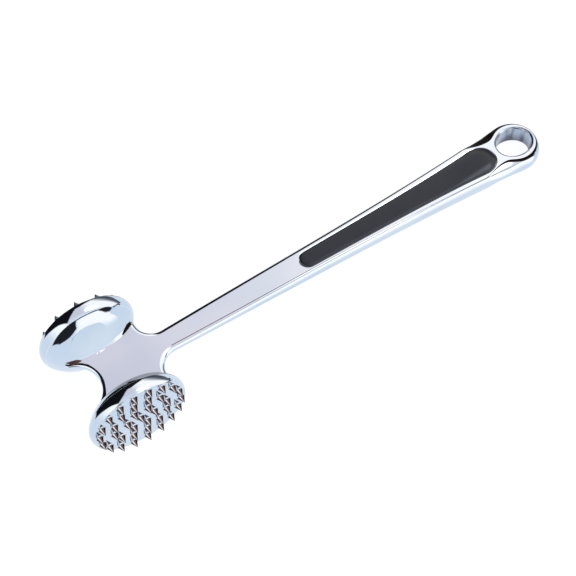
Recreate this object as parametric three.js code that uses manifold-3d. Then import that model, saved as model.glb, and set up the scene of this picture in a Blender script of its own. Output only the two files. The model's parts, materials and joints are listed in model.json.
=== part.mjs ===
// Double-headed meat mallet, in millimetres, +Z up.
// A flat neck carries a fine-toothed head and a coarse-toothed head, and runs into a tapering
// handle with a soft inlay on each side and a hanging ring at its end.
//
// It is built in the tool's own frame (X along the handle, Y along the two heads, Z out of the
// handle's front face, zero at the middle of the heads) and then laid on the table, where it
// rests on the rims of both heads and on the back of the ring.
import * as THREE from "three";
import { mergeVertices } from "three/addons/utils/BufferGeometryUtils.js";
import Module from "manifold-3d";

// Head profile, as [radius, distance from the middle of the tool] with the pulls of each curve
const domeTop = [0, 11.1];
const domePulls = [[10.5, 11.1], [16.5, 14.2]];
const flareStart = [18.5, 16.2];
const flarePulls = [[20.1, 17.8], [21.8, 19.6]];
const widest = [21.8, 21.6];
const bandPulls = [[21.8, 22.6], [21.4, 23.3]];
const bandEnd = [21.1, 23.75];
const faceAt = 24.1; // flat ground between the teeth
const faceRadius = 20.86;
const toothTipAt = 27.3;
const seamAt = 18.6; // where the toothed head meets the domed shoulder
const spigotRadius = 6;
const spigotLength = 5;
const seamGap = 0.3; // clearance between pieces that touch

// Teeth: rings of pointed cones round one middle tooth
const fineTeeth = { pitch: 6.25, rings: [6, 12, 18], baseRadius: 1.8, turn: 53 };
const coarseTeeth = { pitch: 9.3, rings: [6, 12], baseRadius: 2, turn: 15 };
const toothRoot = 0.3; // how far a tooth reaches below the face

// Neck and handle, as half widths of the flat front face
const sideBulge = 2.3; // how far the rounded sides stand out past the flat face
const neckWaist = 4.6; // flat face behind the head axis
const neckArcRadius = 13.4;
const neckArcEnd = 12.6; // where the waist arc ends, across the tool
const shoulderFilletX = 26.6; // where the handle's straight side begins
const shoulderFilletRadius = 9.75;
const neckEnd = 15.9; // the neck plate ends inside the domed shoulders
const handleStart = 3.55;
const handlePull = [100, 4.6];
const handleEndPull = 50; // how far back the ring's tangent steers the handle's side
const halfThicknessAtHead = 1.72;
const thicknessGrowth = 0.01454; // half thickness gained per millimetre along the handle

// Hanging ring
const ringAt = 211;
const ringFaceRadius = 10.1;
const ringTurn = 4; // degrees past square where the handle's side runs into the ring
const holeHalfLength = 9.4;
const holeHalfWidth = 7.7;

// Grip inlays
const gripStart = 96.7;
const gripStartHalfWidth = 4.1;
const gripShoulder = 190;
const gripShoulderHalfWidth = 7.3;
const gripSidePulls = [[130, 4.7], [165, 5]];
const gripHeelPull = [197, 7.9];
const gripEndPull = 5;
const gripEnd = 199.5;
const recessDepth = 1.7;
const gripProud = 0.2;

// Facets
const headSegments = 60;
const spigotSegments = 36;
const holeSegments = 40;
const toothSides = 10;
const bevelSegments = 5;
const domeSteps = 9;
const flareSteps = 7;
const bandSteps = 4;
const arcSteps = 8;
const ringSteps = 12;
const handleSteps = 16;
const gripSteps = 10;
const noseSteps = 6;
const straightEdge = 0.1; // share of the half thickness that stays straight at the widest line
const cutPast = 3; // how far a cutting solid runs past the face that it cuts
const sameHeight = 0.01;
const sameVertex = 1e-4;
const onAxis = 1e-6;

const chrome = { color: 0xd5dde6, roughness: 0.08, metalness: 1 };
const softGrip = { color: 0x3c3e46, roughness: 0.75, metalness: 0 };

const wasm = await Module();
wasm.setup();

// ---- solids -------------------------------------------------------------------------------

function toSolid(geometry) {
  const bare = geometry.index ? geometry.toNonIndexed() : geometry.clone();
  bare.deleteAttribute("normal");
  bare.deleteAttribute("uv");
  const merged = mergeVertices(bare, sameVertex);
  return new wasm.Manifold(new wasm.Mesh({
    numProp: 3,
    vertProperties: new Float32Array(merged.attributes.position.array),
    triVerts: new Uint32Array(merged.index.array),
  }));
}

function toMesh(solid, name, look) {
  const { vertProperties, triVerts } = solid.getMesh();
  const geometry = new THREE.BufferGeometry();
  geometry.setAttribute("position", new THREE.BufferAttribute(vertProperties, 3));
  geometry.setIndex(new THREE.BufferAttribute(triVerts, 1));
  geometry.computeVertexNormals();
  const mesh = new THREE.Mesh(geometry, new THREE.MeshStandardMaterial(look));
  mesh.name = name;
  return mesh;
}

function union(solids) {
  return solids.reduce((sum, solid) => sum.add(solid));
}

// A lathe turned about the tool's Y axis; side is +1 or -1 for the head it belongs to.
function turned(profile, side, segments = headSegments) {
  const points = profile.map(([radius, along]) => new THREE.Vector2(radius, along));
  const geometry = new THREE.LatheGeometry(points, segments);
  if (side < 0) {
    geometry.rotateX(Math.PI);
  }
  return toSolid(geometry);
}

function halfThickness(x) {
  return halfThicknessAtHead + thicknessGrowth * x;
}

// ---- outlines -----------------------------------------------------------------------------

// Points of a circular arc, from one angle to another in degrees.
function arcPoints(centreX, centreY, radius, from, to, steps) {
  const points = [];
  for (let step = 0; step <= steps; step += 1) {
    const angle = THREE.MathUtils.degToRad(from + ((to - from) * step) / steps);
    points.push([centreX + radius * Math.cos(angle), centreY + radius * Math.sin(angle)]);
  }
  return points;
}

function bezierPoints(start, pullStart, pullEnd, end, steps) {
  const curve = new THREE.CubicBezierCurve(
    new THREE.Vector2(...start),
    new THREE.Vector2(...pullStart),
    new THREE.Vector2(...pullEnd),
    new THREE.Vector2(...end),
  );
  return curve.getPoints(steps).map((point) => [point.x, point.y]);
}

// Closes a half outline that runs from -X to +X on the +Y side with its mirror image.
function mirrored(half) {
  const below = half.filter(([, y]) => y > onAxis).map(([x, y]) => [x, -y]).reverse();
  const shape = new THREE.Shape();
  [...half, ...below].forEach(([x, y], index) => {
    if (index === 0) {
      shape.moveTo(x, y);
    } else {
      shape.lineTo(x, y);
    }
  });
  return shape;
}

function faceOutline() {
  const waistSweep = THREE.MathUtils.radToDeg(Math.asin(neckArcEnd / neckArcRadius));
  const waist = arcPoints(-neckWaist - neckArcRadius, 0, neckArcRadius, 0, waistSweep, arcSteps);
  const waistEnd = waist[waist.length - 1];
  const filletCentreY = handleStart + shoulderFilletRadius;
  const fillet = arcPoints(
    shoulderFilletX,
    filletCentreY,
    shoulderFilletRadius,
    180,
    270,
    arcSteps,
  );
  const ring = arcPoints(ringAt, 0, ringFaceRadius, 90 + ringTurn, 0, ringSteps);
  const [ringFromX, ringFromY] = ring[0];
  const slope = Math.tan(THREE.MathUtils.degToRad(ringTurn));
  const handle = bezierPoints(
    [shoulderFilletX, handleStart],
    handlePull,
    [ringFromX - handleEndPull, ringFromY - handleEndPull * slope],
    ring[0],
    handleSteps,
  );
  return [
    ...waist,
    [waistEnd[0], neckEnd],
    [shoulderFilletX - shoulderFilletRadius, neckEnd],
    ...fillet,
    ...handle.slice(1),
    ...ring.slice(1),
  ];
}

function gripOutline(inset) {
  const narrowed = ([x, y]) => [x, y - inset];
  const side = bezierPoints(
    narrowed([gripStart, gripStartHalfWidth]),
    ...gripSidePulls.map(narrowed),
    narrowed([gripShoulder, gripShoulderHalfWidth]),
    gripSteps,
  );
  const nose = arcPoints(gripStart, 0, gripStartHalfWidth - inset, 180, 90, noseSteps);
  const heel = bezierPoints(
    narrowed([gripShoulder, gripShoulderHalfWidth]),
    narrowed([gripHeelPull[0] - inset, gripHeelPull[1]]),
    narrowed([gripEnd - inset, gripEndPull]),
    [gripEnd - inset, 0],
    arcSteps,
  );
  return [...nose, ...side.slice(1), ...heel.slice(1)];
}

// ---- neck, handle and ring ----------------------------------------------------------------

// The plate is extruded one unit thick each way with rounded sides, then stretched to the
// thickness that the handle has at each place along it.
function neckHandleAndRing() {
  const geometry = new THREE.ExtrudeGeometry(mirrored(faceOutline()), {
    depth: 2 * straightEdge,
    bevelEnabled: true,
    bevelThickness: 1 - straightEdge,
    bevelSize: sideBulge,
    bevelSegments,
    curveSegments: 1,
  });
  geometry.translate(0, 0, -straightEdge);
  const position = geometry.attributes.position;
  for (let index = 0; index < position.count; index += 1) {
    position.setZ(index, position.getZ(index) * halfThickness(position.getX(index)));
  }
  return toSolid(geometry);
}

// A slab between two heights above the tilted front face; side -1 puts it on the back.
function faceSlab(outline, low, high, side) {
  const geometry = new THREE.ExtrudeGeometry(mirrored(outline), {
    depth: high - low,
    bevelEnabled: false,
    curveSegments: 1,
  });
  const position = geometry.attributes.position;
  for (let index = 0; index < position.count; index += 1) {
    const level = position.getZ(index) + low + halfThickness(position.getX(index));
    position.setZ(index, level);
  }
  if (side < 0) {
    geometry.rotateX(Math.PI);
  }
  return toSolid(geometry);
}

function hangHole() {
  const length = 2 * (halfThickness(ringAt + ringFaceRadius) + cutPast);
  const geometry = new THREE.CylinderGeometry(1, 1, length, holeSegments);
  geometry.rotateX(Math.PI / 2);
  geometry.scale(holeHalfLength, holeHalfWidth, 1);
  geometry.translate(ringAt, 0, 0);
  return toSolid(geometry);
}

// The whole profile of a head, from the top of its dome to the edge of its toothed face.
function headProfile() {
  const dome = bezierPoints(domeTop, ...domePulls, flareStart, domeSteps);
  const flare = bezierPoints(flareStart, ...flarePulls, widest, flareSteps);
  const band = bezierPoints(widest, ...bandPulls, bandEnd, bandSteps);
  return [...dome, ...flare.slice(1), ...band.slice(1), [faceRadius, faceAt]];
}

// The point of the profile at a distance from the middle of the tool.
function profileAt(along) {
  const profile = headProfile();
  const next = profile.findIndex((point) => point[1] > along);
  const [[fromRadius, fromAlong], [toRadius, toAlong]] = [profile[next - 1], profile[next]];
  const share = (along - fromAlong) / (toAlong - fromAlong);
  return [fromRadius + share * (toRadius - fromRadius), along];
}

function domedShoulder(side) {
  const seat = seamAt - seamGap / 2;
  const dome = headProfile().filter(([, along]) => along < seat - sameHeight);
  return turned([...dome, profileAt(seat), [0, seat]], side);
}

function spigotSocket(side) {
  const radius = spigotRadius + seamGap;
  const floor = seamAt - spigotLength - seamGap;
  const mouth = seamAt + cutPast;
  return turned([[0, floor], [radius, floor], [radius, mouth], [0, mouth]], side, spigotSegments);
}

function mainCasting() {
  const recess = gripOutline(0);
  const solid = union([neckHandleAndRing(), domedShoulder(1), domedShoulder(-1)]);
  const cuts = union([
    hangHole(),
    faceSlab(recess, -recessDepth, cutPast, 1),
    faceSlab(recess, -recessDepth, cutPast, -1),
    spigotSocket(1),
    spigotSocket(-1),
  ]);
  return solid.subtract(cuts);
}

// ---- toothed heads ------------------------------------------------------------------------

function discProfile() {
  const back = seamAt + seamGap / 2;
  const spigotEnd = seamAt - spigotLength;
  const band = headProfile().filter(([, along]) => along > back + sameHeight);
  return [
    [0, spigotEnd],
    [spigotRadius, spigotEnd],
    [spigotRadius, back],
    profileAt(back),
    ...band,
    [0, faceAt],
  ];
}

function tooth(baseRadius, side, radius, angle) {
  const height = toothTipAt - faceAt + toothRoot;
  const rootRadius = (baseRadius * height) / (toothTipAt - faceAt);
  const geometry = new THREE.ConeGeometry(rootRadius, height, toothSides);
  geometry.translate(radius, faceAt - toothRoot + height / 2, 0);
  geometry.rotateY(angle);
  if (side < 0) {
    geometry.rotateX(Math.PI);
  }
  return toSolid(geometry);
}

function toothedHead(teeth, side) {
  const solids = [tooth(teeth.baseRadius, side, 0, 0)];
  teeth.rings.forEach((count, ring) => {
    for (let index = 0; index < count; index += 1) {
      const stagger = 0.5 * (ring % 2);
      const turn = teeth.turn + (360 / count) * (index + stagger);
      const angle = THREE.MathUtils.degToRad(turn);
      solids.push(tooth(teeth.baseRadius, side, teeth.pitch * (ring + 1), angle));
    }
  });
  return turned(discProfile(), side).add(union(solids));
}

// ---- the whole tool -----------------------------------------------------------------------

function gripInlay(side) {
  const low = seamGap - recessDepth;
  return faceSlab(gripOutline(seamGap), low, gripProud, side);
}

const tool = new THREE.Group();
tool.add(
  toMesh(mainCasting(), "neck_and_handle_casting", chrome),
  toMesh(toothedHead(fineTeeth, -1), "fine_toothed_head", chrome),
  toMesh(toothedHead(coarseTeeth, 1), "coarse_toothed_head", chrome),
  toMesh(gripInlay(1), "front_grip_inlay", softGrip),
  toMesh(gripInlay(-1), "back_grip_inlay", softGrip),
);

// Laid on the table: one plane touches both head rims and the back edge of the ring.
const heelX = ringAt + ringFaceRadius;
const heelDrop = halfThickness(heelX);
const heelReach = Math.hypot(heelX, heelDrop);
const restTilt = Math.asin(widest[0] / heelReach) - Math.atan2(heelDrop, heelX);
tool.rotation.y = restTilt;

const mallet = new THREE.Group();
mallet.add(tool);
const box = new THREE.Box3().setFromObject(mallet, true);
const centre = box.getCenter(new THREE.Vector3());
tool.position.set(-centre.x, -centre.y, -box.min.z);

export default mallet;
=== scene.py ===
"""Looks of the double-headed meat mallet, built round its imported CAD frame.

Every piece is modelled in the tool's own frame in millimetres (X along the handle, Y across the two
heads, Z out of the handle's front face, zero at the middle of the heads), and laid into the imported
frame by the place and tilt that the frame's own boxes and mounts give.
"""

import json
import math

import bmesh
import bpy
import numpy as np
from mathutils import Matrix, Vector
from mathutils.geometry import delaunay_2d_cdt, tessellate_polygon


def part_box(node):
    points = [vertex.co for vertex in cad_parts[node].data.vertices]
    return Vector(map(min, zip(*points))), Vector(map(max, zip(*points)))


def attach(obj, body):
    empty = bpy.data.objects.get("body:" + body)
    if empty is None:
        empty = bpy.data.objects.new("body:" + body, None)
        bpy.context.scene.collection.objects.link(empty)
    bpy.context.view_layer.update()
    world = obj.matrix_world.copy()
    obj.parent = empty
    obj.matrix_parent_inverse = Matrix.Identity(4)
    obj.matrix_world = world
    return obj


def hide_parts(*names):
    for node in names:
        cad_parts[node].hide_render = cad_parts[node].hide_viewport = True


MM = 0.001

# Heads: radii, and distances from the tool's middle. A pair is (radius, distance)
HEAD_RADIUS = 21.78
SHOULDER_AT = 11.1
DOME_EDGE = (18.5, 16.2)
BAND_START_AT = 21.6
BAND_END = (21.1, 23.75)
SEAM_AT = 18.6
SEAM_GAP = 0.06
SEAM_MARGIN = 0.05
FACE_AT = 24.1
HEAD_SEGMENTS = 192

# Teeth
TOOTH_TIP_AT = 27.3
TOOTH_TIP_RADIUS = 0.28
TOOTH_FILLET = 0.25
TOOTH_SEGMENTS = 28

# Neck and handle. FACE is for the flat face's edge, WIDE for the widest line halfway through the thickness
WAIST_CENTRE_X = -18.0
WAIST_WIDE_RADIUS = 11.9
WAIST_CORNER_X = -15.4
WAIST_CORNER_PULL = 2.4
WAIST_SWEEP = 70.0
NECK_FACE_LEFT = -9.1
NECK_END = 18.3
NECK_FILLET = 1.5
NECK_SINK = 0.05
FILLET_CENTRE = (26.6, 13.25)
FILLET_FACE_RADIUS = 9.75
FILLET_WIDE_RADIUS = 7.75
HALF_THICKNESS = 1.72
THICKNESS_GROWTH = 0.01454
PADDLE = (188.0, 8.95)
EDGE_ANGLE = 12.0
SIDE_STEPS = 14

# Hanging ring as half lengths and half widths, and the hollow where the handle runs into it
RING_AT = 211.0
HOLE = (8.7, 7.1)
HOLE_LIP = 1.0
HOLE_LIP_STEPS = 6
RIM = (10.1, 9.6)
RIM_START = 110
RING_WIDE = (12.2, 12.4)
RING_WIDE_START = 94.5
RING_WIDE_FROM_X = 195
SCALLOP_LOW = (200.5, 6.45)

# Grip
GRIP_NOSE_X = 97.4
GRIP_NOSE_RADIUS = 4.1
GRIP_SHOULDER = (190.0, 7.25)
GRIP_END = 199.1
GRIP_SPINE_END = GRIP_END - 7.0
LIP = 0.35
LIP_DROP = 0.12
RECESS_DEPTH = 1.9
GRIP_GAP = 0.25
GRIP_FLOOR_GAP = 0.1
GRIP_PROUD = 0.65
GRIP_ROLL = ((0.0, 1.3), (0.02, 0.62), (0.1, 0.3), (0.28, 0.1), (0.5, 0.0))
GRIP_CROWN = 0.3
GRIP_CROWN_STEPS = 16
HEEL_CROWN = 1.1
HEEL_AT = 193.0
HEEL_LENGTH = 14.0

# Material slots of the casting, and of a head
# slots 1 and 3 of the casting carry painted shade and reflections, near black and brown
DARK_PAINT_SLOT = 1
BORE_SLOT = 2
BROWN_PAINT_SLOT = 3
JOINT_SLOT = 1

# The strip of painted dark and brown reflections along the edges of the flat faces: its width on each side
# at places along the handle
EDGE_PAINT_FROM = 28.0
EDGE_PAINT_AT = (28, 70, 130, 184, 190, 194, 199, 204, 212, 217, 221)
EDGE_PAINT_NEAR = (0.3, 0.28, 0.2, 0.2, 0.25, 0.45, 0.8, 1.3, 1.3, 1.0, 0.2)
EDGE_PAINT_FAR = (0.5, 0.7, 0.4, 0.4, 1.6, 3.0, 4.2, 3.6, 1.2, 0.6, 0.2)
EDGE_PAINT_SHARE = 0.75
BROWN_END = 150.0

# Painted reflections, black and brown, on the domes' corners beside the neck: places along X, heights over
# the face there, and slot
CORNER_MARGIN = 0.5
CORNER_SHADE = (
    ((11.5, 15.5, 17.6), (0.0, 1.9, 0.7), DARK_PAINT_SLOT),
    ((-14.0, -12.0, -10.0, -8.0), (0.1, 0.5, 0.45, 0.0), BROWN_PAINT_SLOT),
)

# Camera: angles in the tool's frame, and its place along its own right, up and back directions
CAMERA_AZIMUTH = -33.23
CAMERA_ELEVATION = 59.89
CAMERA_ROLL = 0.12
CAMERA_PLACE = (72.91, 34.86, 496.84)
CAMERA_LENS = 74.97
SENSOR_WIDTH = 36

# Half the floor's width, in metres
FLOOR_HALF = 3.0

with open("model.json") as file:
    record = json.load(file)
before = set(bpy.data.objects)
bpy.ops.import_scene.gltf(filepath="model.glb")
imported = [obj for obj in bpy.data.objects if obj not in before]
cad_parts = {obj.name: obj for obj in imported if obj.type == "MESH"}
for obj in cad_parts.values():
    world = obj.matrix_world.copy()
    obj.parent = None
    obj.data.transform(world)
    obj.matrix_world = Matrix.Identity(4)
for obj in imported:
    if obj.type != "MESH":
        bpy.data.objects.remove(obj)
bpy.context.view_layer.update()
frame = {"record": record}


def tool_matrix():
    """Where the tool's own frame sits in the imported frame."""
    low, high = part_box("fine_toothed_head")
    axes = {m["name"]: m["axis"] for m in frame["record"]["mounts"]}
    tilt = (math.asin(axes["neck_front_face"][0]) - math.asin(axes["neck_back_face"][0])) / 2
    centre = Vector(((low.x + high.x) / 2, 0.0, (low.z + high.z) / 2))
    return Matrix.Translation(centre) @ Matrix.Rotation(tilt, 4, "Y") @ Matrix.Scale(MM, 4)


TOOL = tool_matrix()


# ---- outlines ---------------------------------------------------------------------------------


def arc(cx, cy, rx, ry, start, end, steps):
    """Points of part of an ellipse, between two angles in degrees."""
    angles = np.radians(np.linspace(start, end, steps + 1))
    return np.c_[cx + rx * np.cos(angles), cy + ry * np.sin(angles)]


def bezier(p0, p1, p2, p3, steps):
    """Points of a cubic curve from p0 to p3, pulled towards p1 and p2."""
    t = np.linspace(0, 1, steps + 1)[:, None]
    p0, p1, p2, p3 = (np.array(p, float) for p in (p0, p1, p2, p3))
    return (1 - t) ** 3 * p0 + 3 * t * (1 - t) ** 2 * p1 + 3 * t * t * (1 - t) * p2 + t**3 * p3


def half_thickness(x):
    """From the tool's middle plane to either flat face, which spread apart along the handle."""
    return HALF_THICKNESS + THICKNESS_GROWTH * x


def neck_corner(start, steps):
    """The widest outline from the end of the waist's arc round into the shoulder dome."""
    sweep = math.radians(WAIST_SWEEP)
    tangent = np.array([-math.sin(sweep), math.cos(sweep)])
    leave = start + tangent * abs(WAIST_CORNER_X - start[0])
    arrive = (WAIST_CORNER_X, start[1] + WAIST_CORNER_PULL)
    return bezier(start, leave, arrive, (WAIST_CORNER_X, NECK_END), steps)


def scallop_outline(rim):
    """The flat face's edge from the end of the paddle through the hollow to the start of the ring's rim."""
    turn = math.radians(RIM_START)
    along = np.array([RIM[0] * math.sin(turn), -RIM[1] * math.cos(turn)])
    along /= np.hypot(*along)
    falling = bezier(PADDLE, (191.5, 9.15), (194.5, SCALLOP_LOW[1]), SCALLOP_LOW, 26)
    rising = bezier(SCALLOP_LOW, (203.6, SCALLOP_LOW[1]), rim[0] - 3.0 * along, rim[0], 22)
    return np.vstack([falling, rising[1:]])


def wide_beside(rim, wide):
    """Points on the widest outline, each in the same direction from the ring's middle as the rim's."""
    wide = wide[wide[:, 0] > RING_WIDE_FROM_X]
    polar = np.arctan2(wide[:, 1], wide[:, 0] - RING_AT)
    order = np.argsort(polar)
    at = np.arctan2(rim[:, 1], rim[:, 0] - RING_AT)
    x, y = (np.interp(at, polar[order], wide[order, column]) for column in (0, 1))
    return np.c_[x, y]


def casting_outlines():
    """Half outlines on the +Y side, from the waist to the ring's end, matched point for point:
    the flat face's edge, and the widest line halfway through the thickness."""
    face_waist = bezier((-4.55, 0), (-4.55, 4.8), (-7.3, 8.2), (-8.6, 11.8), 28)
    wide_waist = arc(WAIST_CENTRE_X, 0, WAIST_WIDE_RADIUS, WAIST_WIDE_RADIUS, 0, WAIST_SWEEP, 28)
    face_corner = bezier(face_waist[-1], (-9.2, 13.5), (-9.4, 15.5), (-9.4, NECK_END), 14)
    wide_corner = neck_corner(wide_waist[-1], 14)
    cx, cy = FILLET_CENTRE
    face_top = np.array([[cx - FILLET_FACE_RADIUS, NECK_END]])
    wide_top = np.array([[cx - FILLET_WIDE_RADIUS, NECK_END]])
    face_fillet = arc(cx, cy, FILLET_FACE_RADIUS, FILLET_FACE_RADIUS, 180, 270, 32)
    wide_fillet = arc(cx, cy, FILLET_WIDE_RADIUS, FILLET_WIDE_RADIUS, 180, 270, 32)
    face_handle = bezier(face_fillet[-1], (80.4, 5.06), (134.2, 5.17), PADDLE, 90)
    face_rim = arc(RING_AT, 0, *RIM, RIM_START, 0, 60)
    scallop = scallop_outline(face_rim)
    wide_rim = arc(RING_AT, 0, *RING_WIDE, RING_WIDE_START, 0, 200)
    wide_handle = bezier(wide_fillet[-1], (87.7, 7.43), (148.9, 7.3), wide_rim[0], 600)
    wide_ring = wide_beside(face_rim, np.vstack([wide_handle, wide_rim[1:]]))
    side_x = np.r_[face_handle[:, 0], np.linspace(PADDLE[0], wide_ring[0, 0], len(scallop))[1:]]
    wide_side = np.c_[side_x, np.interp(side_x, wide_handle[:, 0], wide_handle[:, 1])]
    neck = [face_waist, face_corner[1:], face_top, face_fillet]
    wide_neck = [wide_waist, wide_corner[1:], wide_top, wide_fillet]
    face = np.vstack([*neck, face_handle[1:], scallop[1:], face_rim[1:]])
    wide = np.vstack([*wide_neck, wide_side[1:], wide_ring[1:]])
    return face, wide


def whole(half):
    """The half outline closed with its mirror image."""
    inner = half[1:-1][::-1] * [1, -1]
    return np.vstack([half, inner])


def grip_outline(inset):
    """A grip's closed outline, drawn in by the inset."""
    nose_radius = GRIP_NOSE_RADIUS - inset
    end = GRIP_END - inset
    nose = arc(GRIP_NOSE_X, 0, nose_radius, nose_radius, 180, 90, 20)
    shoulder = np.array(GRIP_SHOULDER) - [0, inset]
    side = bezier(nose[-1], (130, 4.75 - inset), (165, 5.05 - inset), shoulder, 60)
    heel = bezier(shoulder, (194.6, 7.4 - inset), (end, 5.2), (end, 0), 28)
    return whole(np.vstack([nose, side[1:], heel[1:]]))


# ---- mesh building ----------------------------------------------------------------------------


class Shell:
    """Loops of points joined into one mesh, each face with a material slot."""

    def __init__(self):
        self.points = []
        self.faces = []
        self.slots = {}

    def add(self, points):
        """A loop of (x, y, z) points."""
        start = len(self.points)
        self.points += points
        return list(range(start, len(self.points)))

    def loop(self, xy, z):
        """A loop of (x, y) points at one height, or each at its own."""
        return self.add([(p[0], p[1], h) for p, h in zip(xy, np.broadcast_to(z, (len(xy),)))])

    def bridge(self, first, second, slot=0):
        """Quads between two loops of equal length. The slot may be a function of each one's first point."""
        count = len(first)
        for i in range(count):
            j = (i + 1) % count
            self.slots[len(self.faces)] = slot(self.points[first[i]]) if callable(slot) else slot
            self.faces.append([first[i], first[j], second[j], second[i]])

    def fan(self, loop, peak, slot=0):
        """Triangles from a loop to a peak."""
        top = self.add([peak])[0]
        for i, corner in enumerate(loop):
            self.slots[len(self.faces)] = slot
            self.faces.append([corner, loop[(i + 1) % len(loop)], top])

    def fill(self, loops):
        """Triangles between the first loop and the others inside it, for loops that face along Z."""
        flat = [i for loop in loops for i in loop]
        rings = [[Vector((self.points[i][0], self.points[i][1], 0)) for i in loop] for loop in loops]
        for triangle in tessellate_polygon(rings):
            a, b, c = (flat[i] for i in triangle)
            pa, pb, pc = (np.array(self.points[i][:2]) for i in (a, b, c))
            area = (pb[0] - pa[0]) * (pc[1] - pa[1]) - (pb[1] - pa[1]) * (pc[0] - pa[0])
            if abs(area) < 1e-9:
                continue
            self.faces.append([a, b, c] if area > 0 else [a, c, b])

    def mesh(self, name):
        """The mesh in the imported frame, with its normals outwards."""
        data = bpy.data.meshes.new(name)
        data.from_pydata([tuple(p) for p in self.points], [], self.faces)
        for number, slot in self.slots.items():
            data.polygons[number].material_index = slot
        data.transform(TOOL)
        bm = bmesh.new()
        bm.from_mesh(data)
        bmesh.ops.remove_doubles(bm, verts=bm.verts, dist=1e-7)
        bmesh.ops.recalc_face_normals(bm, faces=bm.faces)
        bm.to_mesh(data)
        bm.free()
        data.validate()
        return data


def shade(data, crease_angle, planes=()):
    """Smooth shading with sharp edges over crease_angle, and all round each flat face."""
    same_direction = 0.99999
    crease_angle = math.radians(crease_angle)
    flat_edge_angle = math.radians(0.3)
    data.shade_smooth()
    bm = bmesh.new()
    bm.from_mesh(data)
    bm.normal_update()
    planes = [Vector(p).normalized() for p in planes]
    for edge in bm.edges:
        if len(edge.link_faces) != 2:
            continue
        one, two = (f.normal for f in edge.link_faces)
        angle = one.angle(two, 0)
        flat = any((one.dot(p) > same_direction) != (two.dot(p) > same_direction) for p in planes)
        edge.smooth = not (angle > crease_angle or (flat and angle > flat_edge_angle))
    bm.to_mesh(data)
    bm.free()
    return data


def show(name, data, materials, node, mirrored=True):
    """A visible piece in place of its CAD node. The chrome shows it in reflections only if mirrored."""
    piece = bpy.data.objects.new(name, data)
    bpy.context.scene.collection.objects.link(piece)
    for material in materials:
        data.materials.append(material)
    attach(piece, "root")
    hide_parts(node)
    piece.visible_glossy = mirrored


def lathe(profile, side, turns):
    """A shell turned about the tool's Y axis from (radius, along) points that start and end on it."""
    points, faces = [(0, side * profile[0][1], 0)], []
    segments = len(turns)
    for radius, along in profile[1:-1]:
        for turn in turns:
            points.append((radius * math.cos(turn), side * along, radius * math.sin(turn)))
    points.append((0, side * profile[-1][1], 0))
    rings = len(profile) - 2
    for k in range(segments):
        m = (k + 1) % segments
        faces.append([0, 1 + k, 1 + m])
        for r in range(rings - 1):
            a, b = 1 + r * segments, 1 + (r + 1) * segments
            faces.append([a + k, b + k, b + m, a + m])
        last = 1 + (rings - 1) * segments
        faces.append([last + k, len(points) - 1, last + m])
    shell = Shell()
    shell.points, shell.faces = points, faces
    return shell


# ---- casting ----------------------------------------------------------------------------------


def edge_paint_slot(point):
    """Slot of the strip along a face's edge: plain round the neck, painted brown reflection on the near side
    up to BROWN_END, and painted black reflection elsewhere."""
    x, y, _ = point
    if x < EDGE_PAINT_FROM:
        return 0
    return BROWN_PAINT_SLOT if y < 0 and x < BROWN_END else DARK_PAINT_SLOT


def side_turns(face, wide):
    """How far each loop has turned round the bar's side, at each outline point. The first and last run
    along the flat faces' edges, and the strip of painted reflections lies between them and their neighbours."""
    low = math.radians(EDGE_ANGLE)
    near, far = (np.interp(face[:, 0], EDGE_PAINT_AT, widths) for widths in (EDGE_PAINT_NEAR, EDGE_PAINT_FAR))
    overhang = np.maximum(np.hypot(*(wide - face).T), 1.0)
    width = np.minimum(np.where(face[:, 1] > 0, far, near), overhang * EDGE_PAINT_SHARE)
    first = np.arcsin(math.sin(low) + width / overhang * (1 - math.sin(low)))
    round_side = [first + (math.pi - 2 * first) * s for s in np.linspace(0, 1, 2 * SIDE_STEPS + 1)]
    return [np.full(len(face), low), *round_side, np.full(len(face), math.pi - low)]


def bar_side(shell, face, wide):
    """The bar's rounded side. Gives the loops along the front and back faces' edges."""
    low = math.radians(EDGE_ANGLE)
    lift = half_thickness(face[:, 0])
    loops = []
    for turn in side_turns(face, wide):
        out = (np.sin(turn) - math.sin(low)) / (1 - math.sin(low))
        height = lift * np.cos(turn) / math.cos(low)
        loops.append(shell.loop(face + (wide - face) * out[:, None], height))
    front, back = loops[0], loops[-1]
    for first, second in zip(loops, loops[1:]):
        shell.bridge(first, second, edge_paint_slot if first is front or second is back else 0)
    return front, back


def bore_lip(shell, sign):
    """The hole's rounded lip on one face. Gives its loops on the face and in the bore."""
    loops = []
    for turn in np.radians(np.linspace(0, 90, HOLE_LIP_STEPS + 1)):
        out = HOLE_LIP * (1 - math.sin(turn))
        down = HOLE_LIP * (1 - math.cos(turn))
        xy = whole(arc(RING_AT, 0, HOLE[0] + out, HOLE[1] + out, 180, 0, 64))
        loops.append(shell.loop(xy, sign * (half_thickness(xy[:, 0]) - down)))
    for pair in zip(loops, loops[1:]):
        shell.bridge(*pair, BORE_SLOT)
    return loops[0], loops[-1]


def grip_seat(shell, sign):
    """The recess for a grip, with a sloping polished lip. Gives the lip's loop on the face."""
    outer = grip_outline(-LIP)
    inner = grip_outline(0)
    rim = shell.loop(outer, sign * half_thickness(outer[:, 0]))
    lip = shell.loop(inner, sign * (half_thickness(inner[:, 0]) - LIP_DROP))
    floor = shell.loop(inner, sign * (half_thickness(inner[:, 0]) - RECESS_DEPTH))
    shell.bridge(rim, lip)
    # the recess wall is painted near black: painted shade in the recess
    shell.bridge(lip, floor, DARK_PAINT_SLOT)
    shell.fill([floor])
    return rim


def bar_shell():
    """The neck and handle, with the ring's hole and a recess for a grip in each face."""
    shell = Shell()
    face, wide = (whole(half) for half in casting_outlines())
    edges = bar_side(shell, face, wide)
    walls = []
    for sign, edge in zip((1, -1), edges):
        mouth, wall = bore_lip(shell, sign)
        walls.append(wall)
        shell.fill([edge, mouth, grip_seat(shell, sign)])
    shell.bridge(*walls, BORE_SLOT)
    return shell


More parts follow.
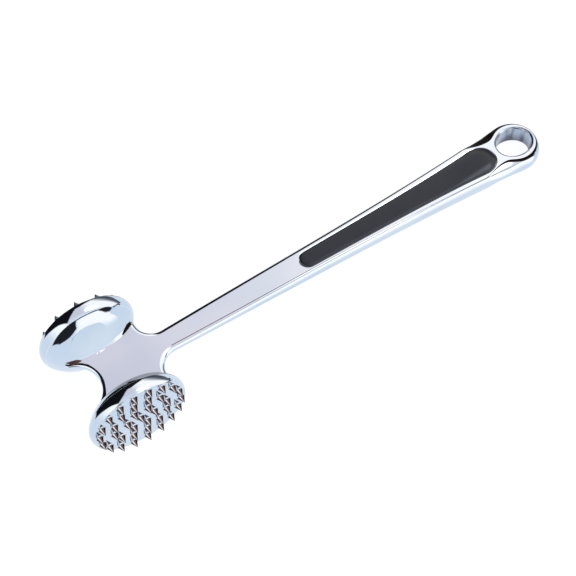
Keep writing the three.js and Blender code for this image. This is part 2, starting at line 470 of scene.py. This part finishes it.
def head_profile():
    """(radius, distance from the tool's middle) from the dome's top to the toothed face."""
    band_start = (HEAD_RADIUS, BAND_START_AT)
    dome = bezier((0, SHOULDER_AT), (10.5, SHOULDER_AT), (16.5, 14.2), DOME_EDGE, 110)
    flare = bezier(DOME_EDGE, (20.1, 17.8), (21.8, 19.6), band_start, 60)
    band = bezier(band_start, (21.8, 22.6), (21.4, 23.3), BAND_END, 20)
    rim = bezier(BAND_END, (21.06, 23.95), (21.0, FACE_AT), (20.86, FACE_AT), 6)
    return np.vstack([dome, flare[1:], band[1:], rim[1:]])


def neck_section():
    """Outline of the neck plate where it enters the domes, as closed (x, z) points."""
    left, right = NECK_FACE_LEFT, FILLET_CENTRE[0] - FILLET_FACE_RADIUS
    far_left, far_right = WAIST_CORNER_X + 1.0, FILLET_CENTRE[0] - FILLET_WIDE_RADIUS
    turn = np.radians(np.linspace(0, 90, 25))
    left_side = far_left + (left - far_left) * (1 - np.cos(turn))
    flat = np.linspace(left, right, 60)[1:-1]
    right_side = right + (far_right - right) * np.sin(turn)
    x = np.r_[left_side, flat, right_side]
    share = np.r_[np.sin(turn), np.ones(len(flat)), np.cos(turn)]
    return whole(np.c_[x, np.maximum(half_thickness(x) * share - NECK_SINK, 0)])


def section_distance(points, section):
    """How far each (x, z) point lies outside the section, 0 inside it."""
    start, end = section, np.roll(section, -1, axis=0)
    along = end - start
    length = np.maximum((along**2).sum(1), 1e-12)
    share = (((points[:, None] - start) * along).sum(2) / length).clip(0, 1)
    gap = points[:, None] - start - share[..., None] * along
    distance = np.sqrt((gap**2).sum(2)).min(1)
    crossing = (start[:, 1] > points[:, None, 1]) != (end[:, 1] > points[:, None, 1])
    rise = np.where(np.abs(along[:, 1]) < 1e-12, 1e-12, along[:, 1])
    at = start[:, 0] + (points[:, None, 1] - start[:, 1]) * along[:, 0] / rise
    inside = (crossing & (points[:, None, 0] < at)).sum(1) % 2 == 1
    return np.where(inside, 0.0, distance)


def add_neck_fillet(shell, side, seat):
    """Draw the dome out towards the tool's middle wherever it comes near the neck plate."""
    points = np.array(shell.points)
    low = np.abs(points[:, 1]) < seat - SEAM_MARGIN / 2
    distance = section_distance(points[low][:, [0, 2]], neck_section())
    reach = np.clip(NECK_FILLET - distance, 0, None)
    points[low, 1] -= side * (NECK_FILLET - np.sqrt(NECK_FILLET**2 - reach**2))
    shell.points = [tuple(p) for p in points]


def mark_corners(shell, seat):
    """Give the dome's faces in the corners beside the neck the slots of their painted reflections."""
    points = np.array(shell.points)
    for number, corners in enumerate(shell.faces):
        x, y, z = points[corners].mean(0)
        above = abs(z) - half_thickness(x)
        for at, heights, slot in CORNER_SHADE:
            beside = at[0] < x < at[-1] and abs(y) < seat - CORNER_MARGIN
            if beside and -CORNER_MARGIN < above < np.interp(x, at, heights):
                shell.slots[number] = slot


def dome_shell(side):
    """A head's domed shoulder, finely divided where the neck meets it."""
    profile = head_profile()
    seat = SEAM_AT - SEAM_GAP / 2
    edge = np.interp(seat, profile[:, 1], profile[:, 0])
    dome = profile[profile[:, 1] < seat - SEAM_MARGIN]
    neck_turn = 22
    near = np.arange(-neck_turn, neck_turn, 0.5)
    rest = np.arange(neck_turn, 180 - neck_turn, 2.0)
    turns = np.radians(np.r_[near, rest, near + 180, rest + 180])
    shell = lathe([*dome, (edge, seat), (0, seat)], side, turns)
    add_neck_fillet(shell, side, seat)
    mark_corners(shell, seat)
    return shell


def make_casting():
    """The bar and its two domes joined into one mesh."""
    data = bar_shell().mesh("casting")
    bar = bpy.data.objects.new("casting_bar", data)
    bpy.context.scene.collection.objects.link(bar)
    helpers = []
    for side in (1, -1):
        dome = bpy.data.objects.new(f"dome_{side}", dome_shell(side).mesh("dome"))
        bpy.context.scene.collection.objects.link(dome)
        join = bar.modifiers.new("join", "BOOLEAN")
        join.operation = "UNION"
        join.solver = "EXACT"
        join.object = dome
        helpers.append(dome)
    graph = bpy.context.evaluated_depsgraph_get()
    joined = bpy.data.meshes.new_from_object(bar.evaluated_get(graph))
    for helper in [bar, *helpers]:
        bpy.data.objects.remove(helper)
    turn = TOOL.to_3x3()
    front = turn @ Vector((-THICKNESS_GROWTH, 0, 1))
    back = turn @ Vector((-THICKNESS_GROWTH, 0, -1))
    return shade(joined, 26, (front, back))


# ---- toothed heads ----------------------------------------------------------------------------


def round_loop(shell, centre, radius, along, segments):
    """A circle of points about a line along the tool's Y axis."""
    x, z = centre
    turns = np.radians(np.arange(segments) * 360 / segments)
    return shell.add([(x + radius * math.cos(t), along, z + radius * math.sin(t)) for t in turns])


def head_body(shell, side):
    """The disc from its hidden joint face to its toothed face. Gives the loop round the toothed face."""
    profile = head_profile()
    seat = SEAM_AT + SEAM_GAP / 2
    edge = np.interp(seat, profile[:, 1], profile[:, 0])
    band = profile[profile[:, 1] > seat + SEAM_MARGIN]
    middle = (0.0, 0.0)
    loops = [round_loop(shell, middle, r, side * along, HEAD_SEGMENTS) for r, along in [(edge, seat), *band]]
    shell.fan(loops[0], (0, side * seat, 0), JOINT_SLOT)
    for pair in zip(loops, loops[1:]):
        shell.bridge(*pair)
    return loops[-1]


def tooth_spots(side, pitch, rings, turn_from):
    """Places of the teeth: one in the middle and rings round it, every second ring turned half a step."""
    spots = [(0.0, 0.0)]
    for ring, count in enumerate(rings):
        radius = pitch * (ring + 1)
        for k in range(count):
            turn = math.radians(turn_from + 360 / count * (k + 0.5 * (ring % 2)))
            spots.append((radius * math.cos(turn), radius * math.sin(turn) * -side))
    return spots


def tooth_profile(base):
    """(radius, height) of a tooth, from the fillet at its foot to just under its rounded peak."""
    height = TOOTH_TIP_AT - FACE_AT
    foot = bezier((base + TOOTH_FILLET, 0), (base + 0.05, 0), (base - 0.12, 0.12), (base - 0.3, 0.5), 6)
    cone_end = np.array([TOOTH_TIP_RADIUS * 0.92, height - TOOTH_TIP_RADIUS * 1.15])
    cone = [foot[-1] + (cone_end - foot[-1]) * share for share in np.linspace(0, 1, 6)[1:]]
    cap = bezier(cone_end, cone_end + [-0.09, 0.2], (0.16, height), (0.0, height), 5)
    return [*foot, *cone, *cap[1:-1]]


def add_tooth(shell, side, spot, profile):
    """One tooth. Gives the loop round its foot."""
    loops = []
    for radius, height in profile:
        loops.append(round_loop(shell, spot, radius, side * (FACE_AT + height), TOOTH_SEGMENTS))
    for pair in zip(loops, loops[1:]):
        shell.bridge(*pair)
    shell.fan(loops[-1], (spot[0], side * TOOTH_TIP_AT, spot[1]))
    return loops[0]


def fill_toothed_face(shell, loops, spots, foot_radius):
    """The flat face inside its rim, which is the first loop, and round the teeth's feet."""
    flat = [i for loop in loops for i in loop]
    places = [Vector((shell.points[i][0], shell.points[i][2])) for i in flat]
    edges = []
    start = 0
    for loop in loops:
        edges += [(start + k, start + (k + 1) % len(loop)) for k in range(len(loop))]
        start += len(loop)
    found, _, triangles, sources, *_ = delaunay_2d_cdt(places, edges, [], 1, 1e-6, True)
    source = [first[0] for first in sources]
    for corners in triangles:
        middle = sum((found[i] for i in corners), Vector((0, 0))) / 3
        if min((middle - Vector(spot)).length for spot in spots) > foot_radius:
            shell.faces.append([flat[source[i]] for i in corners])


def make_head(name, side, pitch, rings, base, turn_from):
    """A toothed disc on one side of the tool."""
    shell = Shell()
    rim = head_body(shell, side)
    spots = tooth_spots(side, pitch, rings, turn_from)
    profile = tooth_profile(base)
    feet = [add_tooth(shell, side, spot, profile) for spot in spots]
    fill_toothed_face(shell, [rim, *feet], spots, base + TOOTH_FILLET * 0.95)
    data = shell.mesh(name)
    return shade(data, 30, (TOOL.to_3x3() @ Vector((0, side, 0)),))


# ---- grips ------------------------------------------------------------------------------------


def make_grip(side):
    """A soft inlay with a rolled edge and a low crown that swells over the heel."""
    outline = grip_outline(GRIP_GAP)
    spine_x = np.clip(outline[:, 0], GRIP_NOSE_X, GRIP_SPINE_END)
    spine = np.c_[spine_x, np.zeros(len(outline))]
    reach = np.hypot(*(outline - spine).T)
    shell = Shell()
    depth = RECESS_DEPTH - GRIP_FLOOR_GAP
    bottom = shell.loop(outline, side * (half_thickness(outline[:, 0]) - depth))
    loops = [bottom]
    for inset, down in GRIP_ROLL:
        xy = spine + (outline - spine) * (1 - inset / reach)[:, None]
        loops.append(shell.loop(xy, side * (half_thickness(xy[:, 0]) + GRIP_PROUD - down)))
    last_inset = GRIP_ROLL[-1][0]
    for share in np.linspace(1, 0, GRIP_CROWN_STEPS + 1)[1:]:
        xy = spine + (outline - spine) * ((1 - last_inset / reach) * share)[:, None]
        crown = GRIP_CROWN + HEEL_CROWN * np.exp(-(((xy[:, 0] - HEEL_AT) / HEEL_LENGTH) ** 2))
        rise = crown * (1 - share**3)  # nearly level in the middle, steepest at the roll
        loops.append(shell.loop(xy, side * (half_thickness(xy[:, 0]) + GRIP_PROUD + rise)))
    for pair in zip(loops, loops[1:]):
        shell.bridge(*pair)
    shell.fill([bottom])
    return shade(shell.mesh("grip"), 60)


# ---- materials --------------------------------------------------------------------------------


# tooth flanks that face this way keep plain chrome; the others get painted reflections
BRIGHT_FLANK_SIDE = tuple(Vector((-0.3, -0.3, 0.9)).normalized())


class Look:
    """A material's nodes, built up from the shader's sockets."""

    def __init__(self, name):
        self.material = bpy.data.materials.new(name)
        self.material.use_nodes = True
        self.nodes = self.material.node_tree.nodes
        self.links = self.material.node_tree.links
        self.shader = self.nodes["Principled BSDF"]
        self.place = self.nodes.new("ShaderNodeTexCoord").outputs["Object"]

    def set(self, **values):
        for key, value in values.items():
            socket = self.shader.inputs[key.replace("_", " ")]
            if hasattr(value, "is_output"):
                self.links.new(value, socket)
            else:
                socket.default_value = value

    def noise(self, scale, detail=3.0, roughness=0.55, stretch=None):
        place = self.place
        if stretch:
            mapping = self.nodes.new("ShaderNodeMapping")
            mapping.inputs["Scale"].default_value = stretch
            self.links.new(place, mapping.inputs["Vector"])
            place = mapping.outputs["Vector"]
        node = self.nodes.new("ShaderNodeTexNoise")
        self.links.new(place, node.inputs["Vector"])
        node.inputs["Scale"].default_value = scale
        node.inputs["Detail"].default_value = detail
        node.inputs["Roughness"].default_value = roughness
        return node.outputs["Fac"]

    def remap(self, value, start, end, low, high):
        node = self.nodes.new("ShaderNodeMapRange")
        node.interpolation_type = "SMOOTHSTEP"
        self.links.new(value, node.inputs["Value"])
        for key, number in (("From Min", start), ("From Max", end), ("To Min", low), ("To Max", high)):
            node.inputs[key].default_value = number
        return node.outputs["Result"]

    def times(self, one, two):
        node = self.nodes.new("ShaderNodeMath")
        node.operation = "MULTIPLY"
        self.links.new(one, node.inputs[0])
        self.links.new(two, node.inputs[1])
        return node.outputs[0]

    def mix(self, factor, one, two):
        node = self.nodes.new("ShaderNodeMix")
        node.data_type = "RGBA"
        self.links.new(factor, node.inputs["Factor"])
        for value, socket in ((one, node.inputs[6]), (two, node.inputs[7])):
            if isinstance(value, tuple):
                socket.default_value = (*value, 1)
            else:
                self.links.new(value, socket)
        return node.outputs[2]

    def bump(self, height, strength, distance):
        node = self.nodes.new("ShaderNodeBump")
        node.inputs["Strength"].default_value = strength
        node.inputs["Distance"].default_value = distance
        self.links.new(height, node.inputs["Height"])
        return node.outputs["Normal"]

    def split(self, vector, axis):
        node = self.nodes.new("ShaderNodeSeparateXYZ")
        self.links.new(vector, node.inputs[0])
        return node.outputs[axis]


def chrome_material(name, flank_paint=None, frost=None):
    """Bright plating over a polished zinc casting: slow waves, faint clouding, fine polishing marks.
    Given heights, the teeth's flanks beyond them get painted reflections: brown, near black where they face
    +X, and none where they face up."""
    look = Look(name)
    cloud = look.remap(look.noise(38, 2, 0.4), 0.38, 0.66, 0, 1)
    colour = look.mix(cloud, (0.575, 0.69, 0.83), (0.63, 0.735, 0.86))
    if flank_paint:
        # painted reflections on the tooth flanks, by the way each faces: brown, near black towards +X, plain
        # chrome towards the bright side
        flank = look.nodes.new("ShaderNodeNewGeometry").outputs["Normal"]
        upward = look.nodes.new("ShaderNodeVectorMath")
        upward.operation = "DOT_PRODUCT"
        upward.inputs[1].default_value = BRIGHT_FLANK_SIDE
        look.links.new(flank, upward.inputs[0])
        off_bright_side = look.remap(upward.outputs["Value"], 0.945, 0.985, 1, 0)
        height = look.remap(look.split(look.place, "Y"), *flank_paint, 0, 1)
        right = look.remap(look.split(flank, "X"), 0.1, 0.5, 0, 1)
        grain = look.mix(look.noise(1500, 2), (0.065, 0.031, 0.026), (0.125, 0.065, 0.053))
        grain = look.mix(right, grain, (0.014, 0.012, 0.014))
        colour = look.mix(look.times(off_bright_side, height), colour, grain)
    marks = look.noise(700, 4, 0.6, stretch=(0.25, 1, 1))
    polish = look.remap(marks, 0.3, 0.75, 0.03, 0.075)
    if frost:
        height = look.remap(look.split(look.place, "Y"), *frost, 0, 1)
        frosted = look.nodes.new("ShaderNodeMath")
        frosted.operation = "MULTIPLY_ADD"
        frosted.inputs[1].default_value = 0.4
        look.links.new(height, frosted.inputs[0])
        look.links.new(polish, frosted.inputs[2])
        polish = frosted.outputs[0]
    look.set(Metallic=1.0, Base_Color=colour, Roughness=polish)
    look.set(Normal=look.bump(look.noise(90, 2, 0.4), 0.25, 0.00002))
    return look.material


def shade_and_reflection_paint(name, dark, light):
    """Metal mottled between a dark and a light colour: painted shade and painted reflections in creases,
    corners and along edges.
    """
    look = Look(name)
    colour = look.mix(look.noise(260, 3), dark, light)
    roughness = look.remap(look.noise(900, 3), 0.3, 0.7, 0.3, 0.5)
    look.set(Metallic=1.0, Base_Color=colour, Roughness=roughness)
    return look.material


def bore_material(name):
    """Plating inside the ring, painted darker towards the bottom as a painted reflection of the bore's walls
    mirroring one another.
    """
    look = Look(name)
    middle = (TOOL @ Vector((RING_AT, 0, 0))).z
    depth = look.remap(look.split(look.place, "Z"), middle - 4.5 * MM, middle + 2.5 * MM, 0, 1)
    cloud = look.remap(look.noise(190, 2, 0.4, stretch=(1, 1, 0.3)), 0.42, 0.58, 0, 1)
    upper = look.mix(cloud, (0.16, 0.2, 0.27), (0.38, 0.46, 0.58))
    lower = look.mix(cloud, (0.08, 0.09, 0.12), (0.19, 0.22, 0.29))
    look.set(Metallic=1.0, Base_Color=look.mix(depth, lower, upper))
    look.set(Roughness=look.remap(look.noise(700, 4, 0.6), 0.3, 0.75, 0.06, 0.14))
    return look.material


def joint_material(name):
    """The hidden joint face of a head, which glows as pale as the studio so that the domes don't mirror it
    dark: painted light.
    """
    look = Look(name)
    pale = look.mix(look.noise(200, 2), (0.95, 0.96, 0.98), (0.99, 1.0, 1.0))
    look.set(Base_Color=(0.0, 0.0, 0.0, 1.0), Roughness=1.0, Specular_IOR_Level=0.0)
    look.set(Emission_Color=pale, Emission_Strength=1.0)
    return look.material


def rubber_material(name):
    """Soft charcoal rubber: a satin skin with a fine moulded grain and faint mottling."""
    look = Look(name)
    mottle = look.remap(look.noise(60, 4), 0.35, 0.7, 0, 1)
    grain = look.noise(4200, 3, 0.6)
    look.set(Base_Color=look.mix(mottle, (0.006, 0.008, 0.015), (0.009, 0.012, 0.02)))
    look.set(Roughness=look.remap(look.noise(300, 3), 0.3, 0.7, 0.24, 0.3))
    look.set(Specular_Tint=(0.7, 0.82, 1.0, 1.0))
    look.set(Normal=look.bump(grain, 0.08, 0.00001))
    return look.material


# a tooth takes its rougher finish on the coarse head, and its painted reflections on the fine head, between
# these distances from the tool's middle, in metres
tooth_foot = (FACE_AT + 0.15) * MM
tooth_flank = (FACE_AT + 0.5) * MM
chrome = chrome_material("polished_chrome")
coarse_chrome = chrome_material("coarse_head_chrome", frost=(tooth_foot, tooth_flank))
fine_chrome = chrome_material("fine_head_chrome", flank_paint=(-tooth_foot, -tooth_flank))
# painted shade and painted reflections on the casting: near black, and brown
painted_dark = shade_and_reflection_paint("painted_shade_and_reflection", (0.002, 0.002, 0.002), (0.014, 0.009, 0.008))
painted_brown_reflection = shade_and_reflection_paint("painted_brown_reflection", (0.07, 0.03, 0.024), (0.16, 0.08, 0.065))
joint = joint_material("joint_face")
rubber = rubber_material("soft_grip_rubber")
bore = bore_material("bore_chrome")

casting = make_casting()
show("casting", casting, [chrome, painted_dark, bore, painted_brown_reflection],
     "neck_and_handle_casting", mirrored=False)
fine_head = make_head("fine_head", -1, pitch=6.25, rings=(6, 12, 18), base=1.75, turn_from=53)
show("fine_head", fine_head, [fine_chrome, joint], "fine_toothed_head")
coarse_head = make_head("coarse_head", 1, pitch=9.3, rings=(6, 12), base=1.95, turn_from=15)
show("coarse_head", coarse_head, [coarse_chrome, joint],
     "coarse_toothed_head", mirrored=False)
show("front_grip", make_grip(1), [rubber], "front_grip_inlay")
show("back_grip", make_grip(-1), [rubber], "back_grip_inlay")


# ---- studio -----------------------------------------------------------------------------------


def make_camera():
    """The photograph's view of the tool."""
    azimuth, elevation, roll = (math.radians(a) for a in (CAMERA_AZIMUTH, CAMERA_ELEVATION, CAMERA_ROLL))
    level = math.cos(elevation)
    back = Vector((math.sin(azimuth) * level, -math.cos(azimuth) * level, math.sin(elevation)))
    right = (-back).cross(Vector((0, 0, 1))).normalized()
    up = right.cross(-back)
    right, up = right * math.cos(roll) + up * math.sin(roll), up * math.cos(roll) - right * math.sin(roll)
    eye = right * CAMERA_PLACE[0] + up * CAMERA_PLACE[1] + back * CAMERA_PLACE[2]
    turn = TOOL.to_3x3() * (1 / MM)
    axes = Matrix((turn @ right, turn @ up, turn @ back)).transposed()
    data = bpy.data.cameras.new("camera")
    data.lens = CAMERA_LENS
    data.sensor_width = SENSOR_WIDTH
    camera = bpy.data.objects.new("camera", data)
    camera.matrix_world = Matrix.Translation(TOOL @ eye) @ axes.to_4x4()
    bpy.context.scene.collection.objects.link(camera)
    bpy.context.scene.camera = camera


def make_floor():
    """A pale floor that glows, so that the object lies on white."""
    data = bpy.data.meshes.new("floor")
    s = FLOOR_HALF
    data.from_pydata([(-s, -s, 0), (s, -s, 0), (s, s, 0), (-s, s, 0)], [], [(0, 1, 2, 3)])
    floor = bpy.data.objects.new("floor", data)
    bpy.context.scene.collection.objects.link(floor)
    material = bpy.data.materials.new("pale_floor")
    material.use_nodes = True
    shader = material.node_tree.nodes["Principled BSDF"]
    shader.inputs["Base Color"].default_value = (0.2, 0.2, 0.2, 1)
    shader.inputs["Roughness"].default_value = 0.9
    shader.inputs["Emission Color"].default_value = (0.97, 0.99, 1.0, 1)
    shader.inputs["Emission Strength"].default_value = 0.92
    data.materials.append(material)
    floor.visible_glossy = False


class Sky:
    """The studio round the object, as cards on a round map seen from below: the middle of the map is
    straight up, each step outwards is an angle from it, right and away are the camera's."""

    def __init__(self, horizon):
        self.world = bpy.data.worlds.new("studio")
        bpy.context.scene.world = self.world
        self.world.use_nodes = True
        self.nodes = self.world.node_tree.nodes
        self.links = self.world.node_tree.links
        self.background = self.nodes["Background"]
        camera = bpy.context.scene.camera.matrix_world.to_3x3()
        right = Vector((camera.col[0].x, camera.col[0].y, 0)).normalized()
        away = Vector((-right.y, right.x, 0))
        ray = self.nodes.new("ShaderNodeTexCoord").outputs["Generated"]
        height = self.dot(ray, (0, 0, 1))
        across, ahead = self.dot(ray, right), self.dot(ray, away)
        flat = self.math("SQRT", self.math("ADD", self.math("MULTIPLY", across, across),
                         self.math("MULTIPLY_ADD", ahead, ahead, 1e-6)))
        zenith = self.math("MULTIPLY", self.math("ARCCOSINE", height), 180 / math.pi)
        scale = self.math("DIVIDE", zenith, flat)
        self.across = self.math("MULTIPLY", across, scale)
        self.ahead = self.math("MULTIPLY", ahead, scale)
        self.zenith = zenith
        rgb = self.nodes.new("ShaderNodeRGB")
        rgb.outputs[0].default_value = (*horizon, 1)
        self.colour = rgb.outputs[0]

    def plug(self, value, socket):
        if isinstance(value, (int, float)):
            socket.default_value = value
        else:
            self.links.new(value, socket)

    def math(self, operation, a, b=0.0, c=0.0):
        node = self.nodes.new("ShaderNodeMath")
        node.operation = operation
        for value, socket in zip((a, b, c), node.inputs):
            self.plug(value, socket)
        return node.outputs[0]

    def dot(self, ray, axis):
        node = self.nodes.new("ShaderNodeVectorMath")
        node.operation = "DOT_PRODUCT"
        self.links.new(ray, node.inputs[0])
        node.inputs[1].default_value = tuple(axis)
        return node.outputs["Value"]

    def ramp(self, value, start, end):
        node = self.nodes.new("ShaderNodeMapRange")
        node.interpolation_type = "SMOOTHSTEP"
        self.links.new(value, node.inputs["Value"])
        node.inputs["From Min"].default_value = start
        node.inputs["From Max"].default_value = end
        return node.outputs["Result"]

    def side(self, one, two, soft):
        """1 on the left of the line from one to two, 0 on its right, on the map."""
        (x0, y0), (x1, y1) = one, two
        length = math.hypot(x1 - x0, y1 - y0)
        nx, ny = -(y1 - y0) / length, (x1 - x0) / length
        term = self.math("MULTIPLY_ADD", self.across, nx, -(nx * x0 + ny * y0))
        gap = self.math("MULTIPLY_ADD", self.ahead, ny, term)
        return self.ramp(gap, -soft, soft)

    def card(self, pieces, soft, colour, colour_end=None, along=None):
        """A card made of convex pieces, each one's corners anticlockwise. Its colour may fade to a
        second one between two distances along a direction."""
        mask = None
        for corners in pieces:
            piece = None
            edge = soft if isinstance(soft, (list, tuple)) else [soft] * len(corners)
            for i, corner in enumerate(corners):
                inside = self.side(corner, corners[(i + 1) % len(corners)], edge[i])
                piece = inside if piece is None else self.math("MULTIPLY", piece, inside)
            mask = piece if mask is None else self.math("MAXIMUM", mask, piece)
        paint = self.nodes.new("ShaderNodeMix")
        paint.data_type = "RGBA"
        self.links.new(mask, paint.inputs["Factor"])
        self.links.new(self.colour, paint.inputs[6])
        if colour_end is None:
            paint.inputs[7].default_value = (*colour, 1)
        else:
            (dx, dy), start, end = along
            length = math.hypot(dx, dy)
            term = self.math("MULTIPLY", self.across, dx / length)
            travel = self.math("MULTIPLY_ADD", self.ahead, dy / length, term)
            fade = self.nodes.new("ShaderNodeMix")
            fade.data_type = "RGBA"
            self.links.new(self.ramp(travel, start, end), fade.inputs["Factor"])
            fade.inputs[6].default_value = (*colour, 1)
            fade.inputs[7].default_value = (*colour_end, 1)
            self.links.new(fade.outputs[2], paint.inputs[7])
        self.colour = paint.outputs[2]

    def stroke(self, path, soft, colour):
        """A thin card along a path of (right, away, half width) points."""
        pieces = []
        for (x0, y0, w0), (x1, y1, w1) in zip(path, path[1:]):
            length = math.hypot(x1 - x0, y1 - y0)
            nx, ny = -(y1 - y0) / length, (x1 - x0) / length
            pieces.append([
                (x0 - nx * w0, y0 - ny * w0), (x1 - nx * w1, y1 - ny * w1),
                (x1 + nx * w1, y1 + ny * w1), (x0 + nx * w0, y0 + ny * w0),
            ])
        self.card(pieces, soft, colour)

    def finish(self):
        self.links.new(self.colour, self.background.inputs["Color"])


def add_front_cards(sky):
    """Pale cards low in front, left and right."""
    left = [(-90, -6), (-66, -78), (-16, -76), (2, -52), (-4, -34)]
    sky.card([left], [5, 6, 3, 2, 3], (1.0, 1.0, 0.98), (1.6, 1.42, 1.25), ((0.8, 0.6), -86, -48))
    right = [(22, -44), (28, -90), (96, -74), (112, -20), (84, -8), (62, -14)]
    sky.card([right], [8, 14, 10, 3, 3, 3], (1.6, 1.4, 1.22), (1.05, 1.05, 1.02), ((0.35, -1), 68, 100))


def add_soft_box(sky):
    """The main soft box overhead: lavender on its left, white across its middle, blue-grey towards its
    far edge, with a small lamp in it and dark bars along its far and right edges."""
    whole_box = [
        (-2, -54), (20, -42), (60, -14), (78, 2), (94, 8),
        (96, 34), (85, 62), (34, 98), (-10, 118), (-46, 100),
    ]
    edges = [1, 1, 1, 1, 1, 1.5, 2, 3, 3, 2]
    sky.card([whole_box], edges, (0.95, 0.83, 0.84), (1.55, 1.36, 1.2), ((0.8, 0.6), 8, 36))
    far_part = [
        (80, 4), (94, 8), (96, 34), (85, 62), (34, 98),
        (-10, 118), (-44, 100), (-34, 66), (0, 58), (50, 30),
    ]
    edges = [2, 1.5, 1.5, 2, 3, 3, 2, 10, 10, 10]
    sky.card([far_part], edges, (1.5, 1.34, 1.2), (0.13, 0.14, 0.16), ((0.5, 0.87), 48, 86))
    lamp = [(30, -11), (44, -10), (54, -2), (46, 12), (30, 13), (23, 8)]
    sky.card([lamp], 5, (5.0, 4.6, 4.2))
    sky.stroke([(-36, 94, 6), (-10, 99, 6), (16, 96, 4), (40, 86, 3)], 3, (0.08, 0.07, 0.07))
    sky.stroke([(91, 8, 2), (95, 32, 2.5), (88, 60, 2)], 1.5, (0.06, 0.06, 0.07))


def add_black_flag(sky):
    """A black flag on the left, its far end lower down."""
    far_end = [(-36, 46), (-17, 48), (-15, 84), (-24, 104), (-52, 104)]
    sky.card([far_end], [3, 2, 2, 3, 3], (0.014, 0.011, 0.01))
    outer = [(-103, 70), (-100, 4), (-30, -22), (-33, 84), (-52, 97), (-82, 88)]
    inner = [(-48, 84), (-48, -14), (-2, -43), (-12, 0), (-36, 84)]
    sky.card([outer, inner], 2.5, (0.008, 0.008, 0.01))


def add_dark_gap(sky):
    """A dark gap along the near edge of the main soft box, with a dark window at each end."""
    black = (0.02, 0.02, 0.022)
    sky.stroke([(-2, -52, 2), (20, -42, 1.8), (42, -28, 1.8), (60, -15, 2)], 1.2, black)
    right = [(58, -16), (68, -17), (79, -16), (88, -8), (91, 5), (82, 5), (74, 1)]
    sky.card([right], 1.5, black)
    left = [
        (-44, -87), (-22, -89), (0, -90), (13, -86), (20, -76),
        (22, -60), (20, -42), (-4, -54), (-20, -65),
    ]
    sky.card([left], 1.5, black)


def make_studio():
    """Pale surroundings, and the cards in them. A later card covers an earlier one."""
    sky = Sky((0.97, 0.98, 1.0))
    add_front_cards(sky)
    grey_wall = [(-62, 92), (0, 108), (5, 150), (-50, 165), (-88, 138), (-82, 96)]
    sky.card([grey_wall], 3, (0.42, 0.4, 0.41))
    add_soft_box(sky)
    add_black_flag(sky)
    add_dark_gap(sky)
    sky.finish()


make_camera()
make_floor()
make_studio()
bpy.context.scene.view_settings.view_transform = "Standard"
